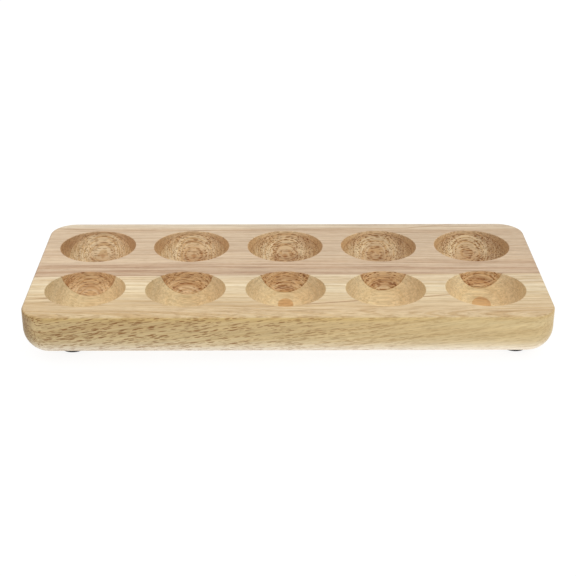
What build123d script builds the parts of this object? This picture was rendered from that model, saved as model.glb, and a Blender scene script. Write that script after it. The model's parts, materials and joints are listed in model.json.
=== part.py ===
from build123d import *
import math
import os

# Egg holder tray: a thick hardwood board with ten round wells, glued up from two staves and
# standing on four rubber feet. Millimetres. The origin is on the surface that the tray stands on,
# under the middle of the board. +X runs along the board, -Y is its front edge and +Z is up.

# Board
LENGTH = 311.0
WIDTH = 138.0
THICKNESS = 27.4
CORNER_RADIUS = 16.0
UNDERSIDE_RADIUS = 15.0
TOP_EDGE_RADIUS = 1.5

# Wells: shallow spherical bowls, a little deeper than a third of an egg
WELL_COLUMNS = 5
WELL_ROWS = 2
WELL_PITCH_X = 60.0
WELL_PITCH_Y = 62.8
WELL_RIM_RADIUS = 24.0
WELL_DEPTH = 20.6
WELL_EDGE_BREAK = 0.6
WELLS_OFFSET_X = -1.5
WELLS_OFFSET_Y = 0.8

# Glue joint between the staves: one upright plane, slightly out of line with the board
JOINT_Y = -11.8
JOINT_SKEW = 0.68

# Feet: round rubber bumpers, each held by its own disc of adhesive
FOOT_RADIUS = 8.0
FOOT_HEIGHT = 3.2
FOOT_DRAFT = 4.0
FOOT_EDGE_RADIUS = 0.6
ADHESIVE_RADIUS = 7.6
ADHESIVE_THICKNESS = 0.2
FEET_SPACING_X = 263.2
FEET_SPACING_Y = 92.0
FEET_OFFSET_X = 3.5

# Worked out from the dimensions above
underside_z = FOOT_HEIGHT + ADHESIVE_THICKNESS
top_z = underside_z + THICKNESS
well_sphere_radius = (WELL_RIM_RADIUS**2 + WELL_DEPTH**2) / (2 * WELL_DEPTH)
well_sphere_z = top_z - WELL_DEPTH + well_sphere_radius
joint_plane = Plane(
    origin=(0, JOINT_Y, underside_z),
    x_dir=(math.cos(math.radians(JOINT_SKEW)), math.sin(math.radians(JOINT_SKEW)), 0),
    z_dir=(-math.sin(math.radians(JOINT_SKEW)), math.cos(math.radians(JOINT_SKEW)), 0),
)

os.makedirs("parts", exist_ok=True)

# The board is shaped after it is glued up, so the joint runs through its edges and wells
with BuildPart() as board:
    with BuildSketch(Plane.XY.offset(underside_z)):
        RectangleRounded(LENGTH, WIDTH, CORNER_RADIUS)
    extrude(amount=THICKNESS)
    fillet(board.faces().sort_by(Axis.Z)[0].edges(), UNDERSIDE_RADIUS)
    fillet(board.faces().sort_by(Axis.Z)[-1].edges(), TOP_EDGE_RADIUS)
    with Locations((WELLS_OFFSET_X, WELLS_OFFSET_Y, well_sphere_z)):
        with GridLocations(WELL_PITCH_X, WELL_PITCH_Y, WELL_COLUMNS, WELL_ROWS):
            Sphere(well_sphere_radius, mode=Mode.SUBTRACT)
    top_face = board.faces().filter_by(Axis.Z).sort_by(Axis.Z)[-1]
    fillet(top_face.inner_wires().edges(), WELL_EDGE_BREAK)

with BuildPart() as stave_front:
    add(board.part)
    split(bisect_by=joint_plane, keep=Keep.BOTTOM)

with BuildPart() as stave_rear:
    add(board.part)
    split(bisect_by=joint_plane, keep=Keep.TOP)

for stave, name in ((stave_front, "stave_front"), (stave_rear, "stave_rear")):
    stave.part.label = name
    export_step(stave.part, f"parts/{name}.step")

corners = {
    "front_left": (-1, -1),
    "front_right": (1, -1),
    "rear_left": (-1, 1),
    "rear_right": (1, 1),
}
for corner, (side_x, side_y) in corners.items():
    foot_x = FEET_OFFSET_X + side_x * FEET_SPACING_X / 2
    foot_y = side_y * FEET_SPACING_Y / 2
    foot_top = Plane((foot_x, foot_y, FOOT_HEIGHT))

    with BuildPart() as foot:
        with BuildSketch(foot_top):
            Circle(FOOT_RADIUS)
        extrude(amount=-FOOT_HEIGHT, taper=FOOT_DRAFT)
        fillet(foot.edges().filter_by(GeomType.CIRCLE).sort_by(Axis.Z)[0], FOOT_EDGE_RADIUS)
    foot.part.label = f"foot_{corner}"
    export_step(foot.part, f"parts/foot_{corner}.step")

    with BuildPart() as adhesive:
        with BuildSketch(foot_top):
            Circle(ADHESIVE_RADIUS)
        extrude(amount=ADHESIVE_THICKNESS)
    adhesive.part.label = f"adhesive_{corner}"
    export_step(adhesive.part, f"parts/adhesive_{corner}.step")
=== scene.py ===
import json
import math

import bmesh
import bpy
from mathutils import Matrix, Vector


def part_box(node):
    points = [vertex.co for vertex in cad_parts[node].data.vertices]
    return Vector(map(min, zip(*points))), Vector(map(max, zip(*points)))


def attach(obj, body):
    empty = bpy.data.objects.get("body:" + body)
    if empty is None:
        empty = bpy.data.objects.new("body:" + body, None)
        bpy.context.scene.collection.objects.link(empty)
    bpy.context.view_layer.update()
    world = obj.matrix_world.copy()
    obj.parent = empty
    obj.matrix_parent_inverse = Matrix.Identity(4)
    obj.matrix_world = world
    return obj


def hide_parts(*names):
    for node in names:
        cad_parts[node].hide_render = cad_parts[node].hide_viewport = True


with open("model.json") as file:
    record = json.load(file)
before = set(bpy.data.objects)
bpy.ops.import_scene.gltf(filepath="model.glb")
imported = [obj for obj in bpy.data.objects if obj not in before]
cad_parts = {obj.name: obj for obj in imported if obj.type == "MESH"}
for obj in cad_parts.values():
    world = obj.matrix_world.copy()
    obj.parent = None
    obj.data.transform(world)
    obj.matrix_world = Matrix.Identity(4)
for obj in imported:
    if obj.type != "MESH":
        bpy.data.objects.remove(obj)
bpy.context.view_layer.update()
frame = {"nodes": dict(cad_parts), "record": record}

MM = 0.001

# --------------------------------------------------------------------------------------------
# Sizes, in metres. The board's outline, its joint and its wells come from the frame. The radii,
# which no box gives, are those of the CAD model.
# --------------------------------------------------------------------------------------------
CORNER_RADIUS = 16.0 * MM
UNDERSIDE_RADIUS = 15.0 * MM
TOP_EDGE_RADIUS = 1.5 * MM
WELL_RIM_RADIUS = 24.0 * MM
WELL_DEPTH = 20.6 * MM
WELL_EDGE_BREAK = 0.6 * MM

front_low, front_high = (Vector(p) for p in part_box("stave_front"))
rear_low, rear_high = (Vector(p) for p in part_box("stave_rear"))
board_low = Vector(map(min, front_low, rear_low))
board_high = Vector(map(max, front_high, rear_high))
board_middle = (board_low + board_high) / 2
board_half = (board_high - board_low) / 2
top_z = board_high.z
underside_z = board_low.z

# The joint runs from corner to corner of the narrow strip where the two staves' boxes overlap
joint_middle = Vector((board_middle.x, (front_high.y + rear_low.y) / 2, underside_z))
joint_skew = math.atan2(front_high.y - rear_low.y, board_high.x - board_low.x)
joint_normal = Vector((-math.sin(joint_skew), math.cos(joint_skew), 0))

well_boxes = {space["name"]: space["box_m"] for space in frame["record"]["physics"]["openings"]}
WELL_COLUMNS = 5
well_centres = [
    [
        Vector([(low + high) / 2 for low, high in zip(*well_boxes[f"well_{row}_{n + 1}"])][:2])
        for n in range(WELL_COLUMNS)
    ]
    for row in ("front", "rear")
]
well_pitch_x = well_centres[0][1].x - well_centres[0][0].x
well_pitch_y = well_centres[1][0].y - well_centres[0][0].y

# A well is part of a sphere. Its rim is an arc that touches the sphere and the top face.
sphere_radius = (WELL_RIM_RADIUS**2 + WELL_DEPTH**2) / (2 * WELL_DEPTH)
sphere_above_top = sphere_radius - WELL_DEPTH
rim_centre_radius = math.sqrt(
    (sphere_radius + WELL_EDGE_BREAK) ** 2 - (sphere_above_top + WELL_EDGE_BREAK) ** 2
)
rim_tilt = math.atan2(sphere_above_top + WELL_EDGE_BREAK, rim_centre_radius)

# Mesh steps. Each well lies in a square cell of the top face's grid, half of it HALF_CELL steps.
HALF_CELL = 20
BOWL_RINGS = 13
RIM_RINGS = 4
CELL_STEPS = 2 * HALF_CELL
CORNER_STEPS = 6
LAND_STRIPS = 3
TOP_ARC_STEPS = 5
SIDE_STEPS = 5
BOTTOM_ARC_STEPS = 14
BLOCK_MARGIN = Vector((27.0 * MM, 27.5 * MM))
BASE_MARGIN = 5.0 * MM
SHARP_ANGLE = math.radians(40)
WELD = 1e-6


# --------------------------------------------------------------------------------------------
# The board: one closed mesh of quads, cut into two staves at the joint
# --------------------------------------------------------------------------------------------
def well_profile(ring):
    """(radius, height) of a ring of the well's mesh: up the bowl, then round the rim."""
    if ring <= BOWL_RINGS:
        angle = (math.pi / 2 - rim_tilt) * ring / BOWL_RINGS
        height = top_z + sphere_above_top - sphere_radius * math.cos(angle)
        return sphere_radius * math.sin(angle), height
    start = math.pi - rim_tilt
    share = min((ring - BOWL_RINGS) / RIM_RINGS, 1)
    angle = start + (math.pi / 2 - start) * share
    radius = rim_centre_radius + WELL_EDGE_BREAK * math.cos(angle)
    return radius, top_z - WELL_EDGE_BREAK + WELL_EDGE_BREAK * math.sin(angle)


def cell_lines(axis, margin):
    """Where the lines between the wells' cells cross an axis."""
    if axis == 0:
        middles = [centre.x for centre in well_centres[0]]
    else:
        middles = [row[0].y for row in well_centres]
    between = [(a + b) / 2 for a, b in zip(middles, middles[1:])]
    return [middles[0] - margin, *between, middles[-1] + margin]


def cell_point(s, t, centre, low, high):
    """The place on the top face of (s, t), each from -1 to 1, in one well's cell."""
    reach = max(abs(s), abs(t))
    ring = round(reach * HALF_CELL)
    radius, height = well_profile(ring)
    if ring == 0:
        return Vector((centre.x, centre.y, height))
    if abs(s) >= abs(t):
        angle = math.pi / 4 * t / s + (math.pi if s < 0 else 0)
    else:
        angle = math.pi / 2 - math.pi / 4 * s / t + (math.pi if t < 0 else 0)
    x = centre.x + radius * math.cos(angle)
    y = centre.y + radius * math.sin(angle)
    last = BOWL_RINGS + RIM_RINGS
    if ring > last:
        share = (ring - last) / (HALF_CELL - last)
        edge_x = low.x + (high.x - low.x) * (s / reach + 1) / 2
        edge_y = low.y + (high.y - low.y) * (t / reach + 1) / 2
        x += (edge_x - x) * share
        y += (edge_y - y) * share
    return Vector((x, y, height))


def top_grid():
    """The points of the top face round the wells, as rows of columns."""
    x_lines = cell_lines(0, BLOCK_MARGIN.x)
    y_lines = cell_lines(1, BLOCK_MARGIN.y)
    rows = len(well_centres)
    grid = []
    for j in range(rows * CELL_STEPS + 1):
        row = min(j // CELL_STEPS, rows - 1)
        t = (j - row * CELL_STEPS) / HALF_CELL - 1
        line = []
        for i in range(WELL_COLUMNS * CELL_STEPS + 1):
            column = min(i // CELL_STEPS, WELL_COLUMNS - 1)
            s = (i - column * CELL_STEPS) / HALF_CELL - 1
            low = Vector((x_lines[column], y_lines[row]))
            high = Vector((x_lines[column + 1], y_lines[row + 1]))
            line.append(cell_point(s, t, well_centres[row][column], low, high))
        grid.append(line)
    return grid


def flat_grid(half, z, columns, rows):
    """The points of a flat rectangle about the board's middle."""
    return [
        [
            Vector(
                (
                    board_middle.x + half.x * (2 * i / columns - 1),
                    board_middle.y + half.y * (2 * j / rows - 1),
                    z,
                )
            )
            for i in range(columns + 1)
        ]
        for j in range(rows + 1)
    ]


def grid_border(grid):
    """The points round a grid, anticlockwise from the front-left corner."""
    front = grid[0][:-1]
    right = [line[-1] for line in grid[:-1]]
    back = grid[-1][:0:-1]
    left = [line[0] for line in grid[:0:-1]]
    return front + right + back + left


def outline_ring(inset, z, steps):
    """The board's outline drawn in by inset, in step with grid_border."""
    reach = board_half - Vector((CORNER_RADIUS, CORNER_RADIUS, 0))
    corners = [
        Vector((board_middle.x + sx * reach.x, board_middle.y + sy * reach.y, z))
        for sx, sy in ((-1, -1), (1, -1), (1, 1), (-1, 1))
    ]
    ring = []
    for side in range(4):
        count = steps[side % 2]
        outward = math.radians(90 * side - 90)
        for i in range(count):
            before = max(CORNER_STEPS - i, 0)
            after = max(i - (count - CORNER_STEPS), 0)
            along = (i - CORNER_STEPS) / (count - 2 * CORNER_STEPS)
            centre = corners[side].lerp(corners[(side + 1) % 4], min(max(along, 0), 1))
            angle = outward + math.pi / 4 * (after - before) / CORNER_STEPS
            spoke = Vector((math.cos(angle), math.sin(angle), 0))
            ring.append(centre + (CORNER_RADIUS - inset) * spoke)
    return ring


def side_rings(steps):
    """Rings from the edge of the top face round to the edge of the underside."""
    rings = []
    for n in range(TOP_ARC_STEPS + 1):
        angle = math.pi / 2 * n / TOP_ARC_STEPS
        inset = TOP_EDGE_RADIUS * (1 - math.sin(angle))
        drop = TOP_EDGE_RADIUS * (1 - math.cos(angle))
        rings.append(outline_ring(inset, top_z - drop, steps))
    upper = top_z - TOP_EDGE_RADIUS
    lower = underside_z + UNDERSIDE_RADIUS
    for n in range(1, SIDE_STEPS):
        rings.append(outline_ring(0, upper + (lower - upper) * n / SIDE_STEPS, steps))
    for n in range(BOTTOM_ARC_STEPS + 1):
        angle = math.pi / 2 * n / BOTTOM_ARC_STEPS
        inset = UNDERSIDE_RADIUS * (1 - math.cos(angle))
        rings.append(outline_ring(inset, lower - UNDERSIDE_RADIUS * math.sin(angle), steps))
    return rings


def add_grid(bm, grid):
    """Faces over a grid of points. Returns its border's vertices."""
    verts = [[bm.verts.new(point) for point in line] for line in grid]
    for below, above in zip(verts, verts[1:]):
        for a, b, c, d in zip(below, below[1:], above[1:], above):
            bm.faces.new((a, b, c, d))
    return grid_border(verts)


def add_strip(bm, ring, points):
    """Faces from a ring of vertices to new ones at these points. Returns the new ones."""
    verts = [bm.verts.new(point) for point in points]
    join_rings(bm, ring, verts)
    return verts


def join_rings(bm, inner, outer):
    """Faces between two rings with the same number of vertices."""
    count = len(inner)
    for n in range(count):
        m = (n + 1) % count
        bm.faces.new((inner[n], outer[n], outer[m], inner[m]))


def board_mesh():
    """The whole board as one closed mesh."""
    bm = bmesh.new()
    grid = top_grid()
    steps = (len(grid[0]) - 1, len(grid) - 1)
    rings = side_rings(steps)
    ring = add_grid(bm, grid)
    border = [vert.co.copy() for vert in ring]
    for n in range(1, LAND_STRIPS):
        share = n / LAND_STRIPS
        ring = add_strip(bm, ring, [a.lerp(b, share) for a, b in zip(border, rings[0])])
    for points in rings:
        ring = add_strip(bm, ring, points)
    half = board_half - Vector.Fill(3, UNDERSIDE_RADIUS + BASE_MARGIN)
    base = add_grid(bm, flat_grid(half, underside_z, *steps))
    join_rings(bm, ring, base)
    return bm


def new_object(name, bm):
    mesh = bpy.data.meshes.new(name)
    bm.to_mesh(mesh)
    bm.free()
    piece = bpy.data.objects.new(name, mesh)
    bpy.context.scene.collection.objects.link(piece)
    return piece


def make_stave(name, node, material, whole, rear):
    """The part of the board on one side of the joint, closed at the joint."""
    bm = whole.copy()
    bmesh.ops.bisect_plane(
        bm,
        geom=[*bm.verts, *bm.edges, *bm.faces],
        dist=WELD,
        plane_co=joint_middle,
        plane_no=joint_normal,
        clear_inner=rear,
        clear_outer=not rear,
    )
    open_edges = [edge for edge in bm.edges if edge.is_boundary]
    bmesh.ops.contextual_create(bm, geom=open_edges)
    bmesh.ops.recalc_face_normals(bm, faces=bm.faces)
    for face in bm.faces:
        face.smooth = True
    piece = new_object(name, bm)
    piece.data.set_sharp_from_angle(angle=SHARP_ANGLE)
    piece.data.materials.append(material)
    weighted = piece.modifiers.new("weighted normals", "WEIGHTED_NORMAL")
    weighted.keep_sharp = True
    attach(piece, "root")
    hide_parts(node)
    return piece


# --------------------------------------------------------------------------------------------
# Materials. Places in them are in mm.
# --------------------------------------------------------------------------------------------
TOP = top_z / MM
PITCH_X = well_pitch_x / MM
PITCH_Y = well_pitch_y / MM
FIRST_WELL_X = well_centres[0][0].x / MM
THIRD_WELL_X = well_centres[0][2].x / MM
BETWEEN_ROWS_Y = (well_centres[0][0].y + well_centres[1][0].y) / 2 / MM

# Tones that change along the board do so between these places, which are near its ends
ENDS = (-150, 150)

# How far below the top face the board's side begins, how wide a well's rounded edge is, and how
# far below the wells nothing counts as a well any more
SIDE_STARTS = 0.1
RIM_WIDTH = WELL_EDGE_BREAK / MM + SIDE_STARTS
BELOW_WELLS = 1

# How far a growth layer tilts up from the board's plane, towards the back
FRONT_TILT = math.radians(30)
REAR_TILT = math.radians(42)

# How far the grain wanders from straight, and its slope along the front face
GRAIN_BEND = (0, 7, 7)
FRONT_CLIMB = math.tan(math.radians(9))

# An old growth surface in the rear stave: where it meets the top face and how steeply it falls
# towards the front, each at the left and at the right
ARCH_TOP_Y = (59, 67)
ARCH_SLOPE = (math.tan(math.radians(22)), math.tan(math.radians(10)))

# Tones of the top face, front to back, by the place where a growth layer reaches it. Those past
# the stave's own edge are of layers that only its wells, sides and underside reach.
FRONT_TONES = (
    (-69, 200, 176, 135),
    (-60, 200, 175, 136),
    (-48, 202, 179, 141),
    (-38, 207, 187, 151),
    (-28, 214, 197, 164),
    (-20, 213, 195, 164),
    (-10, 210, 191, 160),
    (4, 205, 179, 139),
    (40, 202, 173, 131),
)
REAR_TONES = (
    (-14, 190, 165, 136),
    (-2, 188, 162, 133),
    (5, 195, 171, 142),
    (10, 199, 176, 146),
    (30, 192, 169, 140),
    (56, 191, 168, 139),
    (60, 201, 181, 152),
    (66, 201, 186, 162),
    (100, 202, 181, 150),
)

# Thin dark lines on the top face: start x, start y, end x, end y
FRONT_HAIRLINES = (
    (-12, -54.6, 46, -46.8),
    (66, -43.8, 97, -39.6),
    (-150, -44, -118, -41),
)
REAR_HAIRLINES = (
    (-150, 60.5, -122, 58),
    (-122, 58, 0, 58),
    (8, 59.8, 78, 60.4),
    (78, 60.4, 112, 68),
)

# A hairline's outer and inner edge, from its middle, how far it fades past its ends, how deep
# it goes, and how far it wanders
HAIRLINE_EDGES = (0.8, 0.3)
HAIRLINE_FADE = 6
HAIRLINE_DEPTH = 0.3
HAIRLINE_WANDER = 1.5

# Noise that isn't in line with the grain: size along the board, across it and upwards, then
# seed, detail and roughness
BEND = ((110, 45, 45), 1, 1.5)
DRIFT = ((160, 30, 30), 2, 2)
PATCHES = ((60, 22, 22), 6, 2)
ARCH_WOBBLE = ((30, 8, 8), 8)
HAIRLINE_WOBBLE = ((25, 25, 25), 10)

# Noise in line with the grain: size along the fibres, across them and through the layers, then
# seed, detail and roughness
LAYERS = ((380, 70, 1.7), 3, 3, 0.62)
STREAKS = ((55, 1.6, 1.0), 4, 3, 0.6)
FIBRES = ((12, 0.45, 0.45), 5, 2, 0.6)
RINGS = ((34, 7, 0.36), 9, 1)
CLUSTERS = ((26, 7, 3.5), 11, 1)
BUNDLES = ((30, 1.5, 1.2), 12, 2, 0.6)

# Noise stays near 0.5. These are its usual range, the range of most of it, and the ranges over
# which dark wood and pores fade in.
USUAL = (0.3, 0.7)
MOST = (0.35, 0.65)
DARK_LAYERS = (0.47, 0.60)
DARK_STREAKS = (0.49, 0.61)
DARK_RINGS = (0.49, 0.57)
PORED_LAYERS = (0.42, 0.56)
CLUSTERED = (0.38, 0.58)

# Pores: length, gap between them, radius as a share of the gap, and seed
COARSE_PORES = ((9, 0.8, 0.36, 1), (6, 0.85, 0.36, 2))
FINE_PORES = (4, 0.6, 0.30, 3)
FINE_STRENGTH = 0.55
BASE_PORE_STRENGTH = 0.12

# How much lighter than its tone the wood gets: 0.1 is a tenth
FIBRE_LIGHT = (-0.09, 0.09)
STREAK_LIGHT = (0.11, -0.03)
PATCH_LIGHT = (-0.04, 0.04)
FRONT_BUNDLE_LIGHT = (0.06, -0.06)
REAR_BUNDLE_LIGHT = (0.04, -0.04)
# Painted shade on the outer side of each well's wall
OUTWARD_WALL_PAINTED_SHADE = -0.13

# What colours are multiplied by, as linear red, green and blue
TINTS = {
    "end grain": (0.78, 0.68, 0.56),
    # Painted shade: the end at the left is greyer
    "left end painted shade": (0.76, 0.77, 0.80),
    "pore": (0.44, 0.26, 0.13),
    "glue": (0.72, 0.58, 0.45),
    "rear layer": (0.84, 0.76, 0.70),
    "rear streak": (0.84, 0.76, 0.71),
    "rear hairline": (0.74, 0.62, 0.52),
    "rear well": (1.35, 1.39, 1.32),
    "ring": (0.89, 0.79, 0.66),
    "over the arch": (1.04, 1.02, 0.97),
    "first wells": (0.75, 0.68, 0.65),
    "arch": (0.74, 0.60, 0.48),
    "deep layer": (0.88, 0.78, 0.68),
    # Painted shade low in the rear wells
    "bottom": (0.75, 0.66, 0.57),
    # Painted light and shade on the walls of the rear wells
    "painted light, left wall": (1.07, 1.16, 1.22),
    "painted shade, right rim": (0.93, 0.88, 0.86),
    "heart": (0.78, 0.62, 0.48),
    # Painted shade on the back of the front wells, past the joint
    "painted shade past the joint": (0.90, 0.84, 0.77),
    "front layer": (0.88, 0.81, 0.70),
    "front streak": (0.86, 0.79, 0.70),
    "front hairline": (0.62, 0.48, 0.38),
    "front well": (1.18, 1.27, 1.29),
    "brown spot": (0.82, 0.62, 0.44),
    # Painted shade towards the right of each front well and painted light towards its left
    "painted shade, right side": (0.97, 0.91, 0.87),
    "painted light, left side": (1.06, 1.06, 1.06),
    # Partly painted shade: the front face is more yellow near the top
    "upper front": (0.92, 0.91, 0.78),
    # Painted light from the floor
    "painted floor light, lower front": (1.13, 1.20, 1.42),
    "upper edge": (1.02, 0.98, 0.86),
    # Painted light on a band under the top edge, towards the right end
    "painted light band, right of front": (1.07, 1.12, 1.18),
}


def linear(red, green, blue):
    """A colour given from 0 to 255, as the shader's linear red, green, blue and alpha."""
    channels = [c / 255 for c in (red, green, blue)]
    return (*(c / 12.92 if c <= 0.04045 else ((c + 0.055) / 1.055) ** 2.4 for c in channels), 1)


class Graph:
    """Adds nodes to one material. Each method returns the new node's output."""

    def __init__(self, name):
        self.material = bpy.data.materials.new(name)
        self.material.use_nodes = True
        self.tree = self.material.node_tree
        self.shader = self.tree.nodes["Principled BSDF"]
        place = self.tree.nodes.new("ShaderNodeTexCoord").outputs["Object"]
        self.place = self.vector("SCALE", place, scale=1 / MM)

    def put(self, socket, value):
        if isinstance(value, bpy.types.NodeSocket):
            self.tree.links.new(value, socket)
        else:
            socket.default_value = value

    def shade(self, **inputs):
        """Set the shader's inputs. Their names have _ for a space."""
        for name, value in inputs.items():
            self.put(self.shader.inputs[name.replace("_", " ")], value)

    def bump(self, height, strength, distance):
        values = {"Strength": strength, "Distance": distance, "Height": height}
        self.shade(Normal=self.node("ShaderNodeBump", values).outputs[0])

    def node(self, kind, values, **settings):
        node = self.tree.nodes.new(kind)
        for name, value in settings.items():
            setattr(node, name, value)
        for key, value in values.items():
            self.put(node.inputs[key], value)
        return node

    def math(self, operation, *values):
        return self.node("ShaderNodeMath", dict(enumerate(values)), operation=operation).outputs[0]

    def add(self, first, *others):
        for other in others:
            first = self.math("ADD", first, other)
        return first

    def sub(self, a, b):
        return self.math("SUBTRACT", a, b)

    def mul(self, first, *others):
        for other in others:
            first = self.math("MULTIPLY", first, other)
        return first

    def size(self, value):
        return self.math("ABSOLUTE", value)

    def larger(self, a, b):
        return self.math("MAXIMUM", a, b)

    def vector(self, operation, *values, scale=None):
        values = dict(enumerate(values))
        if scale is not None:
            values["Scale"] = scale
        return self.node("ShaderNodeVectorMath", values, operation=operation).outputs[0]

    def split(self, vector):
        return self.node("ShaderNodeSeparateXYZ", {0: vector}).outputs

    def combine(self, x, y, z):
        return self.node("ShaderNodeCombineXYZ", {0: x, 1: y, 2: z}).outputs[0]

    def line(self, value, low, high, bottom=0.0, top=1.0, shape="LINEAR"):
        """From bottom to top, evenly, as value goes from low to high."""
        values = {"Value": value, "From Min": low, "From Max": high}
        values |= {"To Min": bottom, "To Max": top}
        return self.node("ShaderNodeMapRange", values, interpolation_type=shape).outputs["Result"]

    def step(self, value, low, high, bottom=0.0, top=1.0):
        """From bottom to top, smoothly, as value goes from low to high."""
        return self.line(value, low, high, bottom, top, shape="SMOOTHSTEP")

    def noise(self, place, sizes, seed, detail=2.0, roughness=0.5, output="Fac"):
        """Noise whose features are about sizes across, in the units of place."""
        place = self.vector("DIVIDE", place, sizes)
        place = self.vector("ADD", place, (seed * 7.31, seed * 3.17, seed * 5.53))
        values = {"Vector": place, "Scale": 1.0, "Detail": detail, "Roughness": roughness}
        return self.node("ShaderNodeTexNoise", values).outputs[output]

    def wobble(self, kind, height):
        """Noise about 0, from half of height below it to half above."""
        return self.mul(self.sub(self.noise(self.place, *kind), 0.5), height)

    def ramp(self, value, stops):
        """A colour for value, from (value, red, green, blue) stops."""
        low = stops[0][0]
        high = stops[-1][0]
        node = self.node("ShaderNodeValToRGB", {"Fac": self.line(value, low, high)})
        elements = node.color_ramp.elements
        while len(elements) < len(stops):
            elements.new(1.0)
        for element, (at, *colour) in zip(elements, stops):
            element.position = (at - low) / (high - low)
            element.color = linear(*colour)
        return node.outputs["Color"]

    def blend(self, share, a, b, mode="MIX"):
        node = self.node("ShaderNodeMix", {0: share}, data_type="RGBA", blend_type=mode)
        self.put(node.inputs[6], a)
        self.put(node.inputs[7], b)
        return node.outputs[2]

    def tint(self, share, colour, name):
        """colour multiplied by a tint where share is 1."""
        return self.blend(share, colour, (*TINTS[name], 1), "MULTIPLY")


class WoodGraph(Graph):
    """A graph that knows its place on the board too.

    well is 1 inside a well, and skin is 1 on the board's sides and underside. sideways goes
    from -1 to 1, from left to right across each well.
    """

    def __init__(self, name):
        super().__init__(name)
        self.x, self.y, self.z = self.split(self.place)
        columns = self.math("DIVIDE", self.sub(self.x, FIRST_WELL_X), PITCH_X)
        from_column = self.sub(columns, self.math("ROUND", columns))
        self.sideways = self.mul(from_column, well_pitch_x / WELL_RIM_RADIUS)
        self.well = self.well_mask(columns)
        under_top = self.step(self.z, TOP - SIDE_STARTS, TOP - RIM_WIDTH)
        self.skin = self.mul(self.sub(1, self.well), under_top)

    def well_mask(self, columns):
        over_x = self.math("PINGPONG", self.sub(self.x, FIRST_WELL_X), PITCH_X / 2)
        over_y = self.sub(self.size(self.sub(self.y, BETWEEN_ROWS_Y)), PITCH_Y / 2)
        away = self.math("SQRT", self.add(self.mul(over_x, over_x), self.mul(over_y, over_y)))
        rim = rim_centre_radius / MM
        inside = self.step(away, rim, rim - RIM_WIDTH)
        lowest = TOP - WELL_DEPTH / MM - BELOW_WELLS
        above_bottom = self.math("GREATER_THAN", self.z, lowest)
        from_middle = self.size(self.sub(columns, (WELL_COLUMNS - 1) / 2))
        in_row = self.math("LESS_THAN", from_middle, WELL_COLUMNS / 2)
        return self.mul(inside, above_bottom, in_row)

    def vessels(self, place, length, gap, radius, seed, keep):
        """Pores: thin pieces of tube along the grain. keep is the share of them that shows."""
        place = self.vector("DIVIDE", place, (length, gap, gap))
        place = self.vector("ADD", place, (seed * 5.1, seed * 9.7, seed * 2.3))
        cell = self.node("ShaderNodeTexVoronoi", {"Vector": place, "Scale": 1.0})
        chance = self.split(cell.outputs["Color"])[0]
        near = self.step(cell.outputs["Distance"], radius, radius * 0.7)
        return self.mul(near, self.math("LESS_THAN", chance, keep))

    def hairline(self, start_x, start_y, end_x, end_y):
        """A thin line on the top face between two places."""
        on_line = self.line(self.x, start_x, end_x, start_y, end_y)
        off = self.add(self.sub(self.y, on_line), self.wobble(HAIRLINE_WOBBLE, HAIRLINE_WANDER))
        begun = self.step(self.x, start_x - HAIRLINE_FADE, start_x + HAIRLINE_FADE)
        not_over = self.step(self.x, end_x + HAIRLINE_FADE, end_x - HAIRLINE_FADE)
        on_top = self.math("GREATER_THAN", self.z, TOP - HAIRLINE_DEPTH)
        return self.mul(self.step(self.size(off), *HAIRLINE_EDGES), begun, not_over, on_top)


def grain_place(g, tilt, rear):
    """Places along the fibres, across them and through the layers.

    The grain isn't quite straight, and at the board's front face it climbs to the right.
    """
    bend = g.vector("SUBTRACT", g.noise(g.place, *BEND, output="Color"), (0.5, 0.5, 0.5))
    x, y, z = g.split(g.vector("MULTIPLY_ADD", bend, GRAIN_BEND, g.place))
    if not rear:
        climb = g.step(g.y, -50, -66, 0, FRONT_CLIMB)
        z = g.sub(z, g.mul(x, climb))
    across = g.add(g.mul(y, math.cos(tilt)), g.mul(z, math.sin(tilt)))
    through = g.sub(g.mul(z, math.cos(tilt)), g.mul(y, math.sin(tilt)))
    return g.combine(x, across, through)


def oil_and_shade_end_grain(g, colour):
    """Faces that cut the fibres soak up more oil. The right end shows it least, which is painted
    light, and the end at the left is painted greyer, which is painted shade.
    """
    facing = g.split(g.node("ShaderNodeNewGeometry", {}).outputs["Normal"])[0]
    outside = g.sub(1, g.well)
    # Painted light at the right end and painted shade at the end at the left
    lit_right_end = g.mul(outside, g.step(facing, 0.3, 0.9))
    shaded_left_end = g.mul(outside, g.step(facing, -0.3, -0.9))
    end_grain = g.mul(g.step(g.size(facing), 0.35, 0.95), g.sub(1, g.mul(lit_right_end, 0.8)))
    colour = g.tint(end_grain, colour, "end grain")
    return g.tint(shaded_left_end, colour, "left end painted shade")


def shared_light(g, grain, fibres, streaks, bundle_light):
    """How much lighter than its tone either stave's wood is, with painted shade on the outer side
    of each well's wall.
    """
    fine = g.add(g.line(fibres, *USUAL, *FIBRE_LIGHT), g.line(streaks, *MOST, *STREAK_LIGHT))
    patches = g.line(g.noise(g.place, *PATCHES), *USUAL, *PATCH_LIGHT)
    bundles = g.line(g.noise(grain, *BUNDLES), *MOST, *bundle_light)
    # Painted shade: a well's wall is darker on the side that is further from the board's middle
    outward = g.mul(g.well, g.sideways, g.line(g.x, *ENDS, -1, 1), OUTWARD_WALL_PAINTED_SHADE)
    return g.add(fine, patches, g.mul(g.well, bundles), outward)


def over_arch(g):
    """Height over the old growth surface, which shows in the rear wells as an arch."""
    meets_top = g.line(g.x, -121, -20, *ARCH_TOP_Y)
    slope = g.line(g.x, -121, -30, *ARCH_SLOPE)
    short_of_it = g.add(g.sub(meets_top, g.y), g.wobble(ARCH_WOBBLE, 1.5))
    return g.add(g.sub(g.z, TOP), g.mul(short_of_it, slope))


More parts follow.
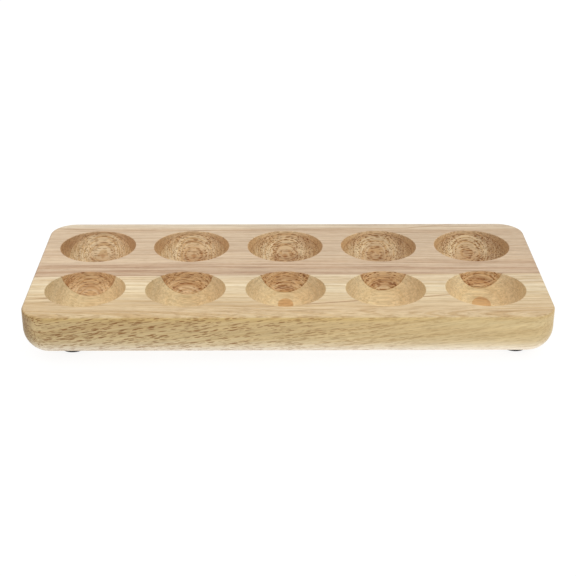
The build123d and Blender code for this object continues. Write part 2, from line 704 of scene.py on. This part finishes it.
def shade_arch(g, colour):
    """The wood over the arch is brown, and darkest in the first two wells. Returns where too."""
    over = over_arch(g)
    brown = g.mul(g.well, g.step(over, -0.3, 0.5))
    colour = g.tint(brown, colour, "over the arch")
    first_wells = g.mul(brown, g.step(g.y, 0, 5), g.line(g.x, -121, -31, 1, 0))
    colour = g.tint(first_wells, colour, "first wells")
    arch = g.mul(g.well, g.step(g.size(over), 0.6, 0.1), 0.6)
    return g.tint(arch, colour, "arch"), g.mul(brown, g.step(g.y, 0, 10))


def shade_old_layers(g, colour, reach):
    """The layers that would reach the top face near the back edge, or past it, are darker."""
    deep = g.mul(g.well, g.step(reach, 59, 64), g.line(g.x, -121, -60, 0.4, 1))
    colour = g.tint(deep, colour, "deep layer")
    heart_starts = g.step(g.x, 20, 40, 64.2, 67)
    in_heart = g.step(reach, heart_starts, g.add(heart_starts, 0.15))
    return g.tint(g.mul(g.well, in_heart, g.step(g.y, 20, 24)), colour, "heart")


def paint_light_on_rear_walls(g, colour):
    """Painted light and shade on the walls of the rear wells, and on the back of the front wells,
    past the joint.
    """
    row = g.mul(g.well, g.step(g.y, 0, 5))
    # Painted shade low in the rear wells, least on their left
    bottom = g.mul(row, g.step(g.z, TOP - 10.5, TOP - 16), g.step(g.sideways, -0.6, -0.1, 0.3, 1))
    colour = g.tint(bottom, colour, "bottom")
    # Painted light on the walls on the left of the rear wells, below their rims
    lit_left_wall = g.mul(row, g.step(g.sideways, -0.1, -0.8), g.step(g.z, TOP - 4, TOP - 9))
    colour = g.tint(lit_left_wall, colour, "painted light, left wall")
    # Painted shade near the rims on the right of the rear wells
    shaded_right_rim = g.mul(row, g.step(g.sideways, 0.1, 0.7), g.step(g.z, TOP - 9, TOP - 4))
    colour = g.tint(shaded_right_rim, colour, "painted shade, right rim")
    # Painted shade on the back of the front wells, past the joint
    behind = g.mul(g.well, g.step(g.y, -2, -9), g.step(g.z, TOP - 10.5, TOP - 4.5))
    return g.tint(behind, colour, "painted shade past the joint")


def shade_rear(g, colour, layers, streaks, reach, dark_rings):
    """The rear stave's colour, the lightness that is its own, and how strongly its pores show.
    Both hold painted light and shade in the wells.
    """
    # Dark layers and streaks are strongest between the two rows of wells, in a band that starts
    # further forward at the left
    forward = g.line(g.x, -150, -10, 6, 0)
    band = g.mul(g.step(g.add(g.y, forward), 12, 2), 0.5)
    share = g.sub(g.add(0.62, band), g.mul(g.well, 0.2))
    colour = g.tint(g.mul(g.step(layers, *DARK_LAYERS), share), colour, "rear layer")
    colour = g.tint(g.mul(g.step(streaks, *DARK_STREAKS), share), colour, "rear streak")
    for ends in REAR_HAIRLINES:
        colour = g.tint(g.hairline(*ends), colour, "rear hairline")
    colour, brown = shade_arch(g, g.tint(g.well, colour, "rear well"))
    colour = paint_light_on_rear_walls(g, shade_old_layers(g, colour, reach))

    # The wells cut the growth rings into arcs and are full of pores, less so over the arch
    open_wood = g.mul(g.well, g.sub(1, g.mul(brown, 0.55)))
    colour = g.tint(g.mul(dark_rings, open_wood), colour, "ring")
    in_wells = g.mul(open_wood, g.line(g.x, -150, 60, 0.55, 1.0))
    strength = g.add(in_wells, g.mul(g.skin, 0.4))
    # Painted light and shade: the walls on the left of each rear well are lighter and those on its
    # right darker
    light = g.sub(g.line(g.x, *ENDS, 0.06, -0.04), g.mul(g.well, g.sideways, 0.07))
    return colour, light, strength


def shade_front(g, colour, layers, streaks, outcrop):
    """The front stave's colour, the lightness that is its own, part of it painted light, and how
    strongly its pores show.
    """
    # Dark layers and streaks are strongest along the front edge of the top face
    plain = g.mul(g.larger(g.well, g.skin), 0.45)
    share = g.sub(g.step(g.y, -48, -56, 0.75, 1.0), plain)
    share = g.mul(share, g.sub(1, g.mul(g.skin, g.step(g.x, 30, 110, 0, 0.5))))
    colour = g.tint(g.mul(g.step(layers, *DARK_LAYERS), share), colour, "front layer")
    colour = g.tint(g.mul(g.step(streaks, *DARK_STREAKS), share), colour, "front streak")
    for ends in FRONT_HAIRLINES:
        colour = g.tint(g.hairline(*ends), colour, "front hairline")
    colour = shade_front_wells(g, colour, outcrop)
    colour = shade_front_face(g, colour)

    # Painted light: the board's sides and underside get lighter towards the right end
    sides = g.mul(g.skin, g.line(g.x, *ENDS, 0.0, 0.20))
    wells = g.mul(g.well, g.line(g.x, *ENDS, -0.06, 0.07))
    behind_edge = g.mul(g.step(g.y, -50, -30), g.line(g.x, *ENDS, 0.06, -0.05))
    pored_face = g.mul(g.skin, g.line(g.x, -30, 100, 0.75, 0.12))
    return colour, g.add(sides, wells, behind_edge), g.add(pored_face, g.mul(g.well, 0.08))


def shade_front_wells(g, colour, outcrop):
    """The front wells are smooth. In two of them a brown layer just shows at the bottom.

    Those are the third and the fifth. It lies too deep for the others.
    """
    past_middle = g.larger(g.sub(g.x, THIRD_WELL_X), -PITCH_X)
    away = g.math("PINGPONG", past_middle, PITCH_X)
    edge = g.add(g.line(g.x, 0, 120, 11.36, 10.88), g.step(away, 8, 50, 0, 3))
    spot = g.mul(g.well, g.step(outcrop, g.sub(edge, 0.12), g.add(edge, 0.12)), 0.9)
    colour = g.tint(spot, colour, "brown spot")
    colour = g.tint(g.well, colour, "front well")
    # Painted shade towards the right of each front well and painted light towards its left
    right = g.mul(g.well, g.step(g.sideways, -0.4, 0.6))
    colour = g.tint(right, colour, "painted shade, right side")
    left = g.mul(g.well, g.step(g.sideways, 0.0, -0.7))
    return g.tint(left, colour, "painted light, left side")


def shade_front_face(g, colour):
    """The front face is more yellow near the top, partly its own tone and partly painted shade,
    and paler near the underside, which is painted light from the floor. A band under its top edge
    towards the right end is painted lighter.
    """
    # Partly painted shade: the front face is more yellow near the top
    colour = g.tint(g.mul(g.skin, g.step(g.z, 7, 20)), colour, "upper front")
    # Painted light from the floor: the front face is paler near the underside
    colour = g.tint(g.mul(g.skin, g.step(g.z, 16, 7)), colour, "painted floor light, lower front")
    edge = g.mul(g.skin, g.step(g.z, TOP - 4, TOP - 1), g.line(g.x, 40, 100, 1, 0.2))
    colour = g.tint(edge, colour, "upper edge")
    # Painted light: a band under the top edge, towards the right end, is paler
    under_edge = g.step(g.size(g.sub(g.z, TOP - 4.6)), 4, 1)
    band = g.mul(g.skin, under_edge, g.step(g.x, 50, 110), g.step(g.y, -50, -62))
    return g.tint(band, colour, "painted light band, right of front")


def pores(g, grain, layers, dark_rings):
    """Where pores are: many in some layers, in the rings and in clusters, and few elsewhere."""
    clusters = g.line(g.noise(grain, *CLUSTERS), *CLUSTERED, 0.45, 1.15)
    crowded = g.mul(g.larger(g.step(layers, *PORED_LAYERS), dark_rings), clusters)
    keep = g.line(crowded, 0, 1, 0.25, 1.0)
    coarse = g.larger(*(g.vessels(grain, *kind, keep) for kind in COARSE_PORES))
    return g.larger(coarse, g.mul(g.vessels(grain, *FINE_PORES, keep), FINE_STRENGTH))


def glue_line(g):
    """A thin line where the staves meet."""
    from_joint = g.add(
        g.mul(g.sub(g.x, joint_middle.x / MM), joint_normal.x),
        g.mul(g.sub(g.y, joint_middle.y / MM), joint_normal.y),
    )
    return g.mul(g.step(g.size(from_joint), 0.22, 0.05), 0.6)


def wood(name, tilt, tones, rear):
    """Rubberwood as a solid: layers, fibres and pores run through it and show on every face."""
    g = WoodGraph(name)
    grain = grain_place(g, tilt, rear)
    layers, streaks, fibres, rings = (
        g.noise(grain, *kind) for kind in (LAYERS, STREAKS, FIBRES, RINGS)
    )
    dark_rings = g.step(rings, *DARK_RINGS)

    # The place where this growth layer reaches the top face sets its tone
    reach = g.add(g.y, g.mul(g.sub(TOP, g.z), 1 / math.tan(tilt)))
    outcrop = g.add(reach, g.wobble(DRIFT, 5))
    colour = oil_and_shade_end_grain(g, g.ramp(outcrop, tones))
    if rear:
        colour, own_light, strength = shade_rear(g, colour, layers, streaks, reach, dark_rings)
    else:
        colour, own_light, strength = shade_front(g, colour, layers, streaks, outcrop)
    bundle_light = REAR_BUNDLE_LIGHT if rear else FRONT_BUNDLE_LIGHT
    light = g.add(own_light, shared_light(g, grain, fibres, streaks, bundle_light))
    hollow = pores(g, grain, layers, dark_rings)
    colour = g.tint(g.mul(hollow, g.add(strength, BASE_PORE_STRENGTH)), colour, "pore")
    colour = g.tint(glue_line(g), colour, "glue")

    rough = g.add(g.line(fibres, *USUAL, 0.50, 0.60), g.mul(hollow, 0.15))
    g.shade(Base_Color=g.vector("SCALE", colour, scale=g.add(light, 1)), Roughness=rough)
    g.shade(Specular_IOR_Level=0.4)
    g.bump(g.sub(g.mul(fibres, 0.35), g.mul(hollow, 0.8)), 0.5, 0.12 * MM)
    return g.material


def rubber():
    """Matt black rubber with fine specks."""
    g = Graph("rubber")
    specks = g.noise(g.place, (0.5, 0.5, 0.5), 1, detail=3)
    cloud = g.noise(g.place, (5, 5, 5), 2, detail=2)
    colour = g.blend(specks, linear(24, 24, 25), linear(38, 37, 36))
    colour = g.blend(g.mul(cloud, 0.4), colour, linear(50, 48, 46))
    g.shade(Base_Color=colour, Roughness=g.line(specks, *USUAL, 0.62, 0.78))
    g.bump(specks, 0.4, 0.05 * MM)
    return g.material


def adhesive():
    """Pale, slightly cloudy adhesive."""
    g = Graph("adhesive")
    cloud = g.noise(g.place, (1.2, 1.2, 1.2), 1, detail=3)
    colour = g.blend(cloud, linear(205, 200, 182), linear(186, 178, 156))
    g.shade(Base_Color=colour, Roughness=g.line(cloud, *USUAL, 0.35, 0.5))
    return g.material


# --------------------------------------------------------------------------------------------
# Camera, lights and floor
# --------------------------------------------------------------------------------------------
# The camera's place in metres, its angles below level, to the right and of roll, and its lens
CAMERA_PLACE = (-0.00574, -0.72102, 0.3652)
CAMERA_DEGREES = (25.826, 0.469, 0.085)
LENS_MM = 80.04
SENSOR_MM = 36.0

SKY_STRENGTH = 0.72
SOFTBOX_STRENGTH = 1.45
SOFTBOX_SPREAD = math.radians(110)
SOFTBOX_TILT = (math.radians(-12), math.radians(4), 0)

WHITE = (1, 1, 1, 1)
FLOOR_COLOUR = (0.15, 0.15, 0.15, 1)
FLOOR_GLOW = 0.88
FLOOR_HALF_SIZE = 6


def make_camera():
    """A long lens in front of the tray and above it, looking down at it."""
    pitch, yaw, roll = (math.radians(angle) for angle in CAMERA_DEGREES)
    forward = Vector(
        (math.sin(yaw) * math.cos(pitch), math.cos(yaw) * math.cos(pitch), -math.sin(pitch))
    )
    level_right = Vector((math.cos(yaw), -math.sin(yaw), 0))
    level_up = level_right.cross(forward)
    right = math.cos(roll) * level_right + math.sin(roll) * level_up
    up = right.cross(forward)
    data = bpy.data.cameras.new("camera")
    data.lens = LENS_MM
    data.sensor_width = SENSOR_MM
    data.clip_start = 0.01
    data.clip_end = 50.0
    camera = bpy.data.objects.new("camera", data)
    axes = Matrix((right, up, -forward)).transposed().to_4x4()
    camera.matrix_world = Matrix.Translation(CAMERA_PLACE) @ axes
    bpy.context.scene.collection.objects.link(camera)
    bpy.context.scene.camera = camera


def make_light():
    """An even white studio, with one wide soft light above."""
    world = bpy.data.worlds.new("studio")
    bpy.context.scene.world = world
    world.use_nodes = True
    background = world.node_tree.nodes["Background"]
    background.inputs["Color"].default_value = WHITE
    background.inputs["Strength"].default_value = SKY_STRENGTH
    sun = bpy.data.lights.new("softbox", "SUN")
    sun.energy = SOFTBOX_STRENGTH
    sun.angle = SOFTBOX_SPREAD
    lamp = bpy.data.objects.new("softbox", sun)
    lamp.rotation_euler = SOFTBOX_TILT
    bpy.context.scene.collection.objects.link(lamp)
    bpy.context.scene.view_settings.view_transform = "Standard"


def make_floor():
    """A pale floor on a grey base. Most of its brightness is its own emission."""
    bm = bmesh.new()
    bmesh.ops.create_grid(bm, x_segments=4, y_segments=4, size=FLOOR_HALF_SIZE)
    floor = new_object("floor", bm)
    g = Graph("floor")
    g.shade(Base_Color=FLOOR_COLOUR, Roughness=0.9, Specular_IOR_Level=0.0)
    g.shade(Emission_Color=WHITE, Emission_Strength=FLOOR_GLOW)
    floor.data.materials.append(g.material)


def paint(node, material):
    for slot in frame["nodes"][node].material_slots:
        slot.material = material


whole = board_mesh()
front_wood = wood("front wood", FRONT_TILT, FRONT_TONES, rear=False)
rear_wood = wood("rear wood", REAR_TILT, REAR_TONES, rear=True)
make_stave("front_stave", "stave_front", front_wood, whole, rear=False)
make_stave("rear_stave", "stave_rear", rear_wood, whole, rear=True)
whole.free()

rubber_material = rubber()
adhesive_material = adhesive()
for node in frame["nodes"]:
    if node.startswith("foot_"):
        paint(node, rubber_material)
    elif node.startswith("adhesive_"):
        paint(node, adhesive_material)

make_floor()
make_light()
make_camera()
